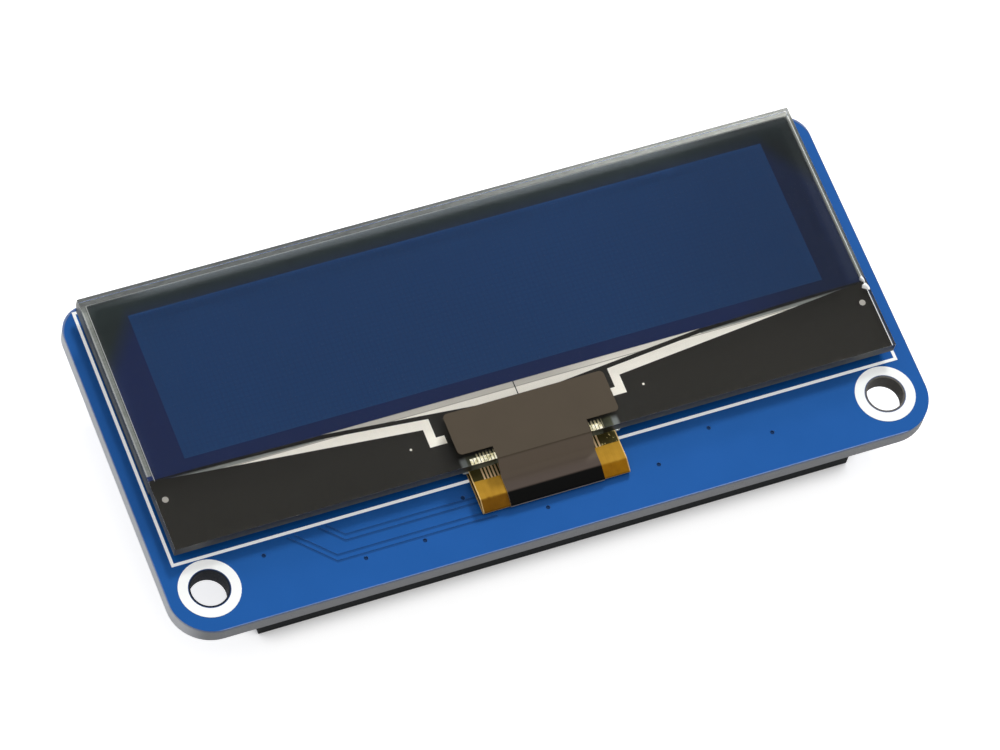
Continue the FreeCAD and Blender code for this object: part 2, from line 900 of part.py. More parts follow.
def build():
    """Every node of the part by name."""
    capacitor_bodies, capacitor_ends = two_terminal_group(capacitor_parts())
    resistor_bodies, resistor_ends = two_terminal_group(resistor_parts())
    inductor_body, inductor_ends = two_terminal_group([((*inductor_place, 0), inductor_body_size)])
    diode_body, diode_ends = two_terminal_group([((*diode_place, 0), diode_body_size)])
    return {
        "circuit_board": make_circuit_board(),
        "screen_print": make_screen_print(),
        "panel_adhesive": make_panel_adhesive(),
        "cap_glass": make_cap_glass(),
        "desiccant_sheet": make_desiccant_sheet(),
        "edge_seal": make_edge_seal(),
        "substrate_glass": make_substrate_glass(),
        "polarizer": make_polarizer(),
        "pixel_matrix": make_pixel_matrix(),
        "electrode_film": make_electrode_film(),
        "fanout_film": make_fanout_film(),
        "bus_tracks": make_bus_tracks(),
        "driver_chip": make_driver_chip(),
        "bond_film": make_bond_film(),
        "display_flex": make_display_flex(),
        "flex_traces": make_flex_traces(),
        "shield_tape": make_shield_tape(),
        "bond_resin": make_bond_resin(),
        "tail_pads": make_tail_pads(),
        "header_body": make_header_body(),
        "header_contacts": make_header_contacts(),
        "header_pads": make_header_pads(),
        "header_solder": make_header_solder(),
        "component_pads": make_component_pads(),
        "regulator_body": chip_package(regulator_place, regulator_body_size),
        "regulator_leads": small_leads(regulator_place, regulator_body_size, regulator_columns),
        "boost_body": chip_package(boost_place, boost_body_size),
        "boost_leads": small_leads(boost_place, boost_body_size, boost_columns),
        "inductor_body": inductor_body,
        "inductor_ends": inductor_ends,
        "diode_body": diode_body,
        "diode_ends": diode_ends,
        "capacitor_bodies": capacitor_bodies,
        "capacitor_ends": capacitor_ends,
        "resistor_bodies": resistor_bodies,
        "resistor_ends": resistor_ends,
    }


def main():
    """Write one STEP file per node."""
    os.makedirs("parts", exist_ok=True)
    for name, shape in build().items():
        shape.exportStep(f"parts/{name}.step")
        print(f"{name}: {len(shape.Solids)} solids, {shape.Volume:.2f} mm3, valid {shape.isValid()}")


main()
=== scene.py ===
import json
import math

import bmesh
import bpy
from mathutils import Matrix, Vector


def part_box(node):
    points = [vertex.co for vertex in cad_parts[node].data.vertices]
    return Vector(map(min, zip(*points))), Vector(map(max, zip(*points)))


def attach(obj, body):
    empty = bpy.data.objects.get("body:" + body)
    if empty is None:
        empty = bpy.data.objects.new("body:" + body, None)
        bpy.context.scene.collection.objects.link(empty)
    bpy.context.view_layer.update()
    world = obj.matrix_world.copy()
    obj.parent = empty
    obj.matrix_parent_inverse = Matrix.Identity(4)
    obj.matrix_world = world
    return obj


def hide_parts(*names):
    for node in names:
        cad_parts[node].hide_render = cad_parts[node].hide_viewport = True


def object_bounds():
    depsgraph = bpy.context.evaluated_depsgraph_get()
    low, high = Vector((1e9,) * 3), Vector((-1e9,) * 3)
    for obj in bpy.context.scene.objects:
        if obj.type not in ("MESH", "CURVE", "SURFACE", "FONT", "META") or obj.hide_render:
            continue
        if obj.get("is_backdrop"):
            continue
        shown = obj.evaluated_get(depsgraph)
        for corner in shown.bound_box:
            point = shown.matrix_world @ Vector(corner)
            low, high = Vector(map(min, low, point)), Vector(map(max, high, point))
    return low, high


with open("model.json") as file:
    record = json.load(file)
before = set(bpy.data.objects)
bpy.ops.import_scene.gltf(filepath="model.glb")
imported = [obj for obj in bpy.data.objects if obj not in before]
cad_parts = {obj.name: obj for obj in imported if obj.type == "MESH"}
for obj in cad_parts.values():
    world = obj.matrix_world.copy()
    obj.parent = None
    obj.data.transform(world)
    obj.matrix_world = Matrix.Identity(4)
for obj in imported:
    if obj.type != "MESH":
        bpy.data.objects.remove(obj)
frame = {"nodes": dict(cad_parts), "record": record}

bl_info = {
    "name": "Small OLED module",
    "version": (1, 0, 0),
    "blender": (4, 5, 0),
    "location": "3D View > Sidebar > Module",
    "description": "Dresses the packed display module and sets up its studio",
    "category": "Object",
}

MM = 0.001

# What the frame does not hold, in millimetres where it is a length
BOARD_CORNER = 2.6
DOTS_ACROSS = 128
DOTS_DEEP = 32
LEAD_PITCH = 0.29
LENS_HALF = 16.2


class ModuleView(bpy.types.PropertyGroup):
    """Where the camera stands."""

    azimuth: bpy.props.FloatProperty(
        name="Azimuth",
        description="Angle round the module, from the front towards the right",
        default=math.radians(-35.82),
        subtype="ANGLE",
    )
    elevation: bpy.props.FloatProperty(
        name="Elevation",
        description="Angle above the board",
        default=math.radians(60.75),
        subtype="ANGLE",
    )
    roll: bpy.props.FloatProperty(
        name="Roll",
        description="Turn of the camera about its own line of sight",
        default=math.radians(16.5),
        subtype="ANGLE",
    )
    distance: bpy.props.FloatProperty(
        name="Distance",
        description="From the camera to the point it looks at",
        default=0.4581,
        unit="LENGTH",
    )
    target: bpy.props.FloatVectorProperty(
        name="Target",
        description="Point on the board that the camera looks at",
        default=(-0.00037, 0.01081, 0.0016),
        subtype="TRANSLATION",
    )
    lens: bpy.props.FloatProperty(
        name="Lens",
        description="Focal length in millimetres on a 36 mm wide sensor",
        default=206.85,
        min=20.0,
    )


class ModuleStudio(bpy.types.PropertyGroup):
    """Floor and light."""

    floor_size: bpy.props.FloatProperty(
        name="Floor size",
        description="Length of each side of the floor",
        default=6.0,
        unit="LENGTH",
    )
    floor_colour: bpy.props.FloatVectorProperty(
        name="Floor colour",
        description="Colour of the floor",
        default=(0.6, 0.6, 0.6),
        subtype="COLOR",
    )
    floor_lift: bpy.props.FloatProperty(
        name="Floor lift",
        description="Glow that brings the open floor up to white",
        default=0.79,
        min=0.0,
    )
    contact_reach: bpy.props.FloatProperty(
        name="Contact reach",
        description="How near the module the floor grows darker",
        default=2.4 * MM,
        unit="LENGTH",
        precision=4,
    )
    sky_level: bpy.props.FloatProperty(
        name="Sky level",
        description="Brightness of the soft light round the module",
        default=0.72,
        min=0.0,
    )
    card_level: bpy.props.FloatProperty(
        name="Card level",
        description="Brightness of the dark card overhead, which the screen mirrors",
        default=0.085,
        min=0.0,
    )
    card_direction: bpy.props.FloatVectorProperty(
        name="Card direction",
        description="Direction from the module to the middle of the dark card",
        default=(0.29, 0.40, 0.87),
        subtype="DIRECTION",
    )
    key_power: bpy.props.FloatProperty(
        name="Key power",
        description="Power of the lamp in watts",
        default=5.5,
        min=0.0,
    )
    key_size: bpy.props.FloatProperty(
        name="Key size",
        description="Width of the round lamp",
        default=0.13,
        unit="LENGTH",
    )
    key_azimuth: bpy.props.FloatProperty(
        name="Key azimuth",
        description="Angle of the lamp from the back towards the right",
        default=math.radians(31.0),
        subtype="ANGLE",
    )
    key_elevation: bpy.props.FloatProperty(
        name="Key elevation",
        description="Angle of the lamp above the board",
        default=math.radians(26.0),
        subtype="ANGLE",
    )
    key_distance: bpy.props.FloatProperty(
        name="Key distance",
        description="From the lamp to the middle of the module",
        default=0.8,
        unit="LENGTH",
    )


class ModuleColours(bpy.types.PropertyGroup):
    """Colours of the finishes."""

    board_blue: bpy.props.FloatVectorProperty(
        name="Board",
        description="Blue solder mask over copper",
        default=(0.0055, 0.094, 0.358),
        subtype="COLOR",
    )
    laminate: bpy.props.FloatVectorProperty(
        name="Laminate",
        description="Cut edge of the board",
        default=(0.39, 0.40, 0.42),
        subtype="COLOR",
    )
    print_white: bpy.props.FloatVectorProperty(
        name="Print",
        description="White screen print",
        default=(0.57, 0.58, 0.57),
        subtype="COLOR",
    )
    screen_blue: bpy.props.FloatVectorProperty(
        name="Screen",
        description="Unlit pixels behind the polarizer",
        default=(0.0125, 0.074, 0.239),
        subtype="COLOR",
    )
    border_navy: bpy.props.FloatVectorProperty(
        name="Screen border",
        description="Electrode film round the pixels",
        default=(0.0107, 0.027, 0.126),
        subtype="COLOR",
    )
    ledge_dark: bpy.props.FloatVectorProperty(
        name="Ledge",
        description="Fine lines under the front ledge",
        default=(0.0108, 0.0092, 0.0062),
        subtype="COLOR",
    )
    track_pale: bpy.props.FloatVectorProperty(
        name="Tracks",
        description="Pale metal tracks under the ledge",
        default=(0.95, 0.89, 0.79),
        subtype="COLOR",
    )
    flex_amber: bpy.props.FloatVectorProperty(
        name="Flexible circuit",
        description="Amber film",
        default=(0.44, 0.235, 0.020),
        subtype="COLOR",
    )
    tape_brown: bpy.props.FloatVectorProperty(
        name="Tape",
        description="Brown shielding tape",
        default=(0.070, 0.053, 0.034),
        subtype="COLOR",
    )
    shift: bpy.props.FloatVectorProperty(
        name="Shift",
        description="How far the thickness of the glass moves what is seen under it, in millimetres",
        default=(0.20, 0.29, 0.0),
    )


class ModuleGlass(bpy.types.PropertyGroup):
    """Sizes of the glass edges."""

    edge_bevel: bpy.props.FloatProperty(
        name="Edge bevel",
        description="Width of the small bevel on the cut edges of the glass",
        default=0.04 * MM,
        unit="LENGTH",
        precision=6,
    )
    film_bevel: bpy.props.FloatProperty(
        name="Film bevel",
        description="Width of the bevel on the edges of the polarizer",
        default=0.07 * MM,
        unit="LENGTH",
        precision=6,
    )
    sink: bpy.props.FloatProperty(
        name="Sink",
        description="How far the glass closes over the printed film on its underside",
        default=0.025 * MM,
        unit="LENGTH",
        precision=6,
    )


class Value:
    """A number in a node tree that can be used in arithmetic."""

    def __init__(self, shade, socket):
        self.shade = shade
        self.socket = socket

    def __add__(self, other):
        return self.shade.maths("ADD", self, other)

    def __radd__(self, other):
        return self.shade.maths("ADD", other, self)

    def __sub__(self, other):
        return self.shade.maths("SUBTRACT", self, other)

    def __rsub__(self, other):
        return self.shade.maths("SUBTRACT", other, self)

    def __mul__(self, other):
        return self.shade.maths("MULTIPLY", self, other)

    def __rmul__(self, other):
        return self.shade.maths("MULTIPLY", other, self)

    def __truediv__(self, other):
        return self.shade.maths("DIVIDE", self, other)

    def __abs__(self):
        return self.shade.maths("ABSOLUTE", self)


class Shade:
    """The node tree of one finish."""

    def __init__(self, tree):
        self.tree = tree
        tree.nodes.clear()

    def node(self, kind, choices, sockets):
        """A node with its choices set, then the values or links of its sockets."""
        made = self.tree.nodes.new(kind)
        for name, value in choices.items():
            setattr(made, name, value)
        for key, value in sockets.items():
            if isinstance(value, Value):
                value = value.socket
            if isinstance(value, bpy.types.NodeSocket):
                self.tree.links.new(value, made.inputs[key])
            else:
                made.inputs[key].default_value = value
        return made

    def maths(self, operation, *values):
        """The result of a Math node."""
        made = self.node("ShaderNodeMath", {"operation": operation}, dict(enumerate(values)))
        return Value(self, made.outputs[0])

    def step(self, value, low, high):
        """0 below low, 1 above high, smooth between."""
        sockets = {"Value": value, "From Min": low, "From Max": high}
        made = self.node("ShaderNodeMapRange", {"interpolation_type": "SMOOTHSTEP"}, sockets)
        return Value(self, made.outputs["Result"])

    def fall(self, value, low, high):
        """1 below low, 0 above high, smooth between."""
        return 1 - self.step(value, low, high)

    def band(self, value, rise, drop_shade):
        """1 between a rise and a drop, each given by its two ends, and 0 outside them."""
        return self.step(value, *rise) * self.fall(value, *drop_shade)

    def zigzag(self, value):
        """0 at each whole number and 0.5 halfway between two."""
        return self.maths("PINGPONG", value, 0.5)

    def most(self, first, second):
        """The greater of two numbers."""
        return self.maths("MAXIMUM", first, second)

    def place(self):
        """Position in the frame of the part, in millimetres, as a vector socket."""
        coordinates = self.node("ShaderNodeTexCoord", {}, {})
        sockets = {0: coordinates.outputs["Object"], "Scale": 1 / MM}
        return self.node("ShaderNodeVectorMath", {"operation": "SCALE"}, sockets).outputs["Vector"]

    def split(self, vector):
        """The three numbers of a vector socket."""
        made = self.node("ShaderNodeSeparateXYZ", {}, {"Vector": vector})
        return [Value(self, out) for out in made.outputs]

    def facing(self):
        """The three numbers of the surface normal."""
        return self.split(self.node("ShaderNodeNewGeometry", {}, {}).outputs["Normal"])

    def stretch(self, vector, scale):
        """A vector socket multiplied by three numbers."""
        made = self.node("ShaderNodeVectorMath", {"operation": "MULTIPLY"}, {0: vector, 1: scale})
        return made.outputs["Vector"]

    def noise(self, vector, scale, detail, roughness=0.5):
        """Smooth noise, mostly between 0.3 and 0.7."""
        sockets = {"Vector": vector, "Scale": scale, "Detail": detail, "Roughness": roughness}
        made = self.node("ShaderNodeTexNoise", {}, sockets)
        return Value(self, made.outputs["Fac"])

    def blend(self, factor, first, second):
        """A colour between two colours."""
        sockets = {0: factor, 6: colour4(first), 7: colour4(second)}
        choices = {"data_type": "RGBA", "clamp_factor": True}
        return self.node("ShaderNodeMix", choices, sockets).outputs[2]

    def bump(self, height):
        """A normal socket for a height in millimetres."""
        sockets = {"Height": height, "Distance": MM, "Strength": 1.0}
        return self.node("ShaderNodeBump", {}, sockets).outputs["Normal"]

    def surface(self, sockets):
        """A Principled shader."""
        return self.node("ShaderNodeBsdfPrincipled", {}, sockets).outputs["BSDF"]

    def light_path(self, name):
        """1 for the kind of ray that is named, 0 for others."""
        return Value(self, self.node("ShaderNodeLightPath", {}, {}).outputs[name])

    def close(self, shader):
        """Ends the tree in a shader."""
        self.node("ShaderNodeOutputMaterial", {}, {"Surface": shader})


def colour4(value):
    """A colour with full alpha, or the socket as it is."""
    if isinstance(value, bpy.types.NodeSocket):
        return value
    return (*value[:3], 1.0)


def palette():
    """The colours that a user can change."""
    return bpy.context.scene.module_colours


def new_finish(name):
    """An empty material and its shade."""
    made = bpy.data.materials.new(name)
    made.use_nodes = True
    return made, Shade(made.node_tree)


def rounded_edge(shade, x, y, low, high, radius):
    """Distance in millimetres inwards from the edge of a rectangle with round corners."""
    dx = abs(x - (low[0] + high[0]) / 2) - ((high[0] - low[0]) / 2 - radius)
    dy = abs(y - (low[1] + high[1]) / 2) - ((high[1] - low[1]) / 2 - radius)
    dx = shade.most(dx, 0.0)
    dy = shade.most(dy, 0.0)
    return radius - shade.maths("SQRT", dx * dx + dy * dy)


def beyond(x, low, high):
    """Distance in millimetres sideways out of a box, below 0 within it."""
    return abs(x - (low[0] + high[0]) / 2) - (high[0] - low[0]) / 2


def hole_distance(shade, x, y):
    """Distance in millimetres from the wall of the nearest mounting hole."""
    holes = frame["record"]["mounts"][0]["dims"]
    dx = abs(x) - holes["spacing_x_mm"] / 2
    return shade.maths("SQRT", dx * dx + y * y) - holes["hole_r_mm"]


def node_box(name):
    """Lowest and highest corners of a CAD node in millimetres."""
    return [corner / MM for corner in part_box(name)]


def times(colour, factor):
    """A colour made lighter or darker."""
    return [min(channel * factor, 1.0) for channel in colour]


def board_finish():
    """Blue solder mask on both faces, plain laminate at the cut edge, dark drilled holes, with painted
    shade in the grooves, the vias and the left hole, and painted light on the left side.
    """
    made, shade = new_finish("solder_mask")
    blue = palette().board_blue
    laminate = palette().laminate
    place = shade.place()
    x, y, z = shade.split(place)
    low, high = node_box("circuit_board")
    cloud = shade.noise(place, 0.25, 3.0)
    weave = shade.noise(place, 6.0, 2.0)
    layers = shade.noise(shade.stretch(place, (3.0, 3.0, 30.0)), 1.0, 4.0, 0.7)
    facing = shade.facing()

    depth = high[2] - z
    # Painted shade: the grooves of the copper runs and the bowl of each via are darkened.
    groove_shade = shade.band(depth, (0.006, 0.018), (0.025, 0.040))
    via_bowl_shade = shade.band(depth, (0.030, 0.048), (0.070, 0.100))
    mask = shade.blend(cloud, times(blue, 0.94), times(blue, 1.08))
    mask = shade.blend(groove_shade * 0.40, mask, times(blue, 0.25))
    mask = shade.blend(via_bowl_shade * 0.8, mask, times(blue, 0.15))

    # Painted light: the left side face of the cut edge is drawn twice as light.
    lit_left_side = shade.step(facing[0] * -1.0, 0.35, 0.9)
    mask_run = shade.fall(depth, 0.0, 0.45)
    edge = shade.blend(layers, times(laminate, 0.70), times(laminate, 1.08))
    edge = shade.blend(lit_left_side, edge, times(laminate, 2.0))
    edge = shade.blend(mask_run * 0.6, edge, times(blue, 1.1))

    wall = shade.blend(layers, (0.025, 0.024, 0.022), (0.20, 0.185, 0.165))
    # Painted shade: the wall of the left hole is near black, the right hole keeps its grey layers.
    wall = shade.blend(shade.step(x, 0.0, 1.0), (0.012, 0.015, 0.024), wall)

    flat = shade.step(abs(facing[2]), 0.4, 0.6)
    on_face = flat * shade.step(rounded_edge(shade, x, y, low, high, BOARD_CORNER), 0.0, 0.08)
    drilled = shade.fall(hole_distance(shade, x, y), 0.10, 0.22)
    sockets = {
        "Base Color": shade.blend(drilled, shade.blend(on_face, edge, mask), wall),
        "Roughness": 0.66 - on_face * 0.36 + cloud * 0.04,
        "Normal": shade.bump(weave * 0.004 * on_face + layers * 0.05 * (1 - on_face)),
        "IOR": 1.5,
        "Specular IOR Level": 0.2,
    }
    shade.close(shade.surface(sockets))
    return made


def plain_finish(name, colour, roughness, grain=0.12, size=3.0, relief=0.002, **extra):
    """A finish with a light grain in its colour, gloss and surface."""
    made, shade = new_finish(name)
    cloud = shade.noise(shade.place(), size, 4.0, 0.6)
    lighter = [min(channel, 0.95) for channel in times(colour, 1 + grain)]
    sockets = {
        "Base Color": shade.blend(cloud, times(colour, 1 - grain), lighter),
        "Roughness": cloud * 0.1 + (roughness - 0.05),
        "Normal": shade.bump(cloud * relief),
    }
    sockets.update(extra)
    shade.close(shade.surface(sockets))
    return made


def metal_finish(name, colour, roughness):
    """Plated metal with fine brush marks."""
    made, shade = new_finish(name)
    marks = shade.noise(shade.stretch(shade.place(), (8.0, 2.0, 8.0)), 1.0, 3.0)
    sockets = {
        "Base Color": shade.blend(marks, times(colour, 0.85), colour),
        "Metallic": 1.0,
        "Roughness": marks * 0.12 + roughness,
        "Normal": shade.bump(marks * 0.004),
    }
    shade.close(shade.surface(sockets))
    return made


def glass_finish(name, node, tint, lit_edge_tint):
    """Clear glass that lets the lamp through, with rough cut edges.

    The edges carry painted shade and light: near black at the front and the left, and paler at the
    right and the back.
    """
    made, shade = new_finish(name)
    place = shade.place()
    x, y = shade.split(place)[:2]
    right, back = node_box(node)[1][:2]
    streaks = shade.noise(shade.stretch(place, (2.5, 2.5, 0.6)), 1.0, 3.0)
    # Painted light on the back and right cut edges; painted shade, near black, on the front and left
    # ones.
    at_back = shade.step(y, back - 0.10, back - 0.05) * (shade.step(x, -20.0, 20.0) * 0.8 + 0.2)
    at_right = shade.step(x, right - 0.10, right - 0.05) * 0.5
    edge = shade.blend(shade.most(at_back, at_right), (0.003, 0.004, 0.004), lit_edge_tint)
    cut = shade.fall(abs(shade.facing()[2]), 0.1, 0.3)
    sockets = {
        "Base Color": shade.blend(cut, tint, edge),
        "Roughness": cut * (streaks * 0.2 + 0.25),
        "Transmission Weight": 1.0,
        "IOR": 1.5,
    }
    clear = shade.node("ShaderNodeBsdfTransparent", {}, {"Color": (0.92, 0.94, 0.93, 1.0)})
    ways = {0: shade.light_path("Is Shadow Ray"), 1: shade.surface(sockets), 2: clear.outputs["BSDF"]}
    shade.close(shade.node("ShaderNodeMixShader", {}, ways).outputs["Shader"])
    return made


def polarizer_finish():
    """Thin dark film with a painted reflection along its back edge, and pale cut edges except at the
    front, the left one painted lighter.
    """
    made, shade = new_finish("polarizer_film")
    place = shade.place()
    x, y = shade.split(place)[:2]
    low, high = node_box("polarizer")
    scuffs = shade.noise(shade.stretch(place, (5.0, 1.5, 1.0)), 1.0, 4.0, 0.7)
    cut = shade.fall(abs(shade.facing()[2]), 0.80, 0.97)
    cut = cut * shade.step(y, low[1] + 0.08, low[1] + 0.12)
    ends = shade.band(x, (low[0] + 1.0, low[0] + 7.0), (high[0] - 14.0, high[0] - 3.0))
    # Painted reflection: a pale band along the back edge, broken up by scuffs, that also makes the film
    # less clear there.
    back_reflection = shade.step(y, high[1] - 0.95, high[1] + 0.05) * (ends * 0.7 + scuffs * 0.3)
    film = shade.blend(back_reflection, (0.012, 0.014, 0.018), (0.30, 0.34, 0.37))
    # Painted light: the left cut edge is drawn paler than the others.
    rim = shade.blend(shade.step(x, -1.0, 1.0), (0.95, 0.96, 0.93), (0.60, 0.62, 0.58))
    sockets = {
        "Base Color": shade.blend(cut, film, rim),
        "Roughness": 0.06 + scuffs * 0.02 + cut * 0.3,
        "Alpha": shade.most(0.20 + back_reflection * 0.25, cut * 0.9),
        "IOR": 1.5,
    }
    shade.close(shade.surface(sockets))
    return made


def layer_finish(name, shade_colour):
    """A thin layer that is seen through the glass."""
    made, shade = new_finish(name)
    sockets = {
        "Base Color": shade_colour(shade),
        "Roughness": 0.4,
        "Specular IOR Level": 0.2,
    }
    shade.close(shade.surface(sockets))
    return made


def screen_colour(shade):
    """Unlit pixels: dark blue with a faint dot grid, and painted shade towards the right."""
    blue = palette().screen_blue
    place = shade.place()
    x, y = shade.split(place)[:2]
    low, high = node_box("pixel_matrix")
    across = shade.zigzag((x - low[0]) / ((high[0] - low[0]) / DOTS_ACROSS))
    along = shade.zigzag((y - low[1]) / ((high[1] - low[1]) / DOTS_DEEP))
    gap = shade.fall(shade.maths("MINIMUM", across, along), 0.03, 0.09)
    cloud = shade.noise(place, 0.04, 1.0)
    shown = shade.blend(cloud, times(blue, 0.88), times(blue, 1.05))
    # Painted shade: darker towards the right.
    shown = shade.blend(shade.step(x, 8.0, 30.0) * 0.6, shown, times(blue, 0.65))
    return shade.blend(gap * 0.3, shown, palette().border_navy)


def border_colour(shade):
    """Navy round the pixels, with a greener black towards the back and the back corners, and painted
    shade towards the right.
    """
    navy = palette().border_navy
    x, y = shade.split(shade.place())[:2]
    low, high = node_box("pixel_matrix")
    reach = shade.most(beyond(x, low, high), 0.0) * 1.4
    back = shade.step(y + reach, high[1] - 2.2, high[1] + 1.4)
    # Painted shade: darker and blacker towards the right.
    right = shade.step(x, 18.0, 29.0)
    shown = shade.blend(shade.zigzag(y * 3.0) * 0.3, navy, times(navy, 0.85))
    shown = shade.blend(right, shown, (0.0058, 0.017, 0.066))
    return shade.blend(back, shown, shade.blend(right, (0.022, 0.034, 0.031), (0.006, 0.012, 0.012)))


def lens_colour(shade, x):
    """Colour of the pale lens behind the thin line across it, greyer at the left."""
    pale = palette().track_pale
    return shade.blend(shade.step(x, 2.0, 9.0), times(pale, 0.62), times(pale, 0.90))


def resin_colour(shade, x, y, streaks, rim):
    """Streaked grey, dark beside the polarizer, with a painted highlight along its left edge.

    The strip behind the polarizer has painted shade at the left and painted light at the right.
    """
    left = node_box("edge_seal")[0][0]
    film_back = node_box("polarizer")[1][1]
    back = shade.step(y, film_back - 0.4, film_back + 0.1)
    # Painted highlight: the glint of the glass edge above, drawn as a pale line on the resin's outer
    # left edge.
    edge_highlight = shade.fall(x, left + 0.20, left + 0.26)
    # Painted shade and light behind the polarizer: dark at the left, pale at the right.
    back_left = shade.blend(streaks, (0.03, 0.032, 0.031), (0.30, 0.31, 0.30))
    back_right = shade.blend(streaks, (0.20, 0.20, 0.19), (0.75, 0.75, 0.70))
    behind = shade.blend(shade.step(x, -8.0, 26.0), back_left, back_right)
    resin = shade.blend(streaks, (0.12, 0.13, 0.115), (0.40, 0.41, 0.38))
    resin = shade.blend(back, resin, behind)
    resin = shade.blend(rim * 0.7, resin, (0.02, 0.022, 0.022))
    return shade.blend(edge_highlight * (1 - back), resin, (0.48, 0.49, 0.47))


def seal_finish():
    """Grey sealing resin, with the border and the lens where they are seen in its place."""
    made, shade = new_finish("seal_resin")
    place = shade.place()
    x, y = shade.split(place)[:2]
    low, high = node_box("polarizer")
    shift = palette().shift
    under = rounded_edge(shade, x - shift[0], y - shift[1], low, high, 0.3)
    covered = shade.step(under, -0.02, 0.04)
    rim = shade.step(under, -0.16, -0.04)
    streaks = shade.noise(shade.stretch(place, (1.2, 6.0, 4.0)), 1.0, 4.0, 0.7)
    resin = resin_colour(shade, x, y, streaks, rim)
    shown = shade.blend(covered, resin, border_colour(shade))
    ledge_end = node_box("fanout_film")[1][1]
    lens = shade.fall(abs(x), LENS_HALF - 0.04, LENS_HALF + 0.06)
    lens = lens * shade.fall(y, ledge_end - 0.6, ledge_end)
    sockets = {
        "Base Color": shade.blend(lens, shown, lens_colour(shade, x)),
        "Roughness": streaks * 0.2 + 0.4,
        "Normal": shade.bump(streaks * 0.004),
        "Specular IOR Level": 0.3,
    }
    shade.close(shade.surface(sockets))
    return made


def track_finish():
    """Pale tracks and lens, greyer marks near the ends, and gold pads at the bond with a painted glint
    that glows.
    """
    made, shade = new_finish("pale_tracks")
    pale = palette().track_pale
    place = shade.place()
    x, y = shade.split(place)[:2]
    low, high = node_box("bus_tracks")
    cloud = shade.noise(place, 2.0, 3.0)
    shown = shade.blend(cloud, times(pale, 0.97), times(pale, 1.03))
    marks = shade.step(abs(x), high[0] - 1.0, high[0] - 0.9)
    shown = shade.blend(marks, shown, times(pale, 0.45))

    line_at = low[1] + 5.75
    behind = shade.step(y, line_at, line_at + 0.03)
    line = shade.band(y - line_at, (-0.05, -0.02), (0.02, 0.05))
    shown = shade.blend(behind, shown, lens_colour(shade, x))
    shown = shade.blend(line * 0.7, shown, (0.16, 0.13, 0.09))

    bond = shade.fall(y, low[1] + 0.80, low[1] + 0.85)
    grain = shade.noise(place, 3.0, 3.0, 0.7)
    # Painted glint: the gold pads are drawn near white, and patches of them glow.
    pad = shade.blend(grain, (1.0, 0.82, 0.42), (1.0, 0.98, 0.90))
    gold = shade.blend(shade.step(grain, 0.45, 0.60), (0.62, 0.56, 0.27), (1.0, 0.96, 0.80))
    painted_glint = shade.blend(bond * shade.step(grain, 0.34, 0.48), (0.0, 0.0, 0.0), gold)
    sockets = {
        "Base Color": shade.blend(bond, shown, pad),
        "Emission Color": painted_glint,
        "Emission Strength": 0.75,
        "Metallic": bond * 0.6,
        "Roughness": 0.45 - bond * 0.25,
        "Normal": shade.bump(grain * bond * 0.5),
    }
    shade.close(shade.surface(sockets))
    return made


def fanout_finish():
    """Dark field of hair-fine lines, with the leads and the resin beads of the bond."""
    made, shade = new_finish("fanout_lines")
    dark = palette().ledge_dark
    place = shade.place()
    x, y = shade.split(place)[:2]
    low = node_box("fanout_film")[0]
    flex = node_box("display_flex")
    resin_back = node_box("bond_resin")[1][1]
    lines = shade.zigzag((abs(x) * 0.1 - y) * 9.0)
    cloud = shade.noise(place, 0.12, 2.0)
    shown = shade.blend(lines * 0.5, dark, times(dark, 1.25))
    shown = shade.blend(cloud * 0.5, shown, times(dark, 0.75))

    aside = beyond(x, *flex)
    bond = shade.fall(y, low[1] + 0.85, low[1] + 1.15)
    shown = shade.blend(bond * shade.fall(aside, -0.1, 0.2) * 0.8, shown, (0.075, 0.078, 0.045))
    leads = shade.step(shade.zigzag((x - flex[0][0]) / LEAD_PITCH), 0.22, 0.30)
    leads = leads * bond * shade.fall(aside, -1.0, -0.8)
    shown = shade.blend(leads, shown, (0.85, 0.74, 0.46))
    bead = shade.band(aside, (-0.15, 0.05), (0.3, 0.6))
    bead = bead * shade.fall(y, resin_back - 0.5, resin_back)
    shown = shade.blend(bead * (cloud * 0.5 + 0.6), shown, (0.22, 0.235, 0.23))

    polarizer_front = node_box("polarizer")[0][1] + palette().shift[1]
    polarizer_front = shade.step(abs(x), 15.0, 28.0) * 0.2 + polarizer_front
    covered = shade.step(y - polarizer_front, 0.0, 0.05)
    sockets = {
        "Base Color": shade.blend(covered, shown, border_colour(shade)),
        "Roughness": 0.35,
        "Specular IOR Level": 0.2,
    }
    shade.close(shade.surface(sockets))
    return made


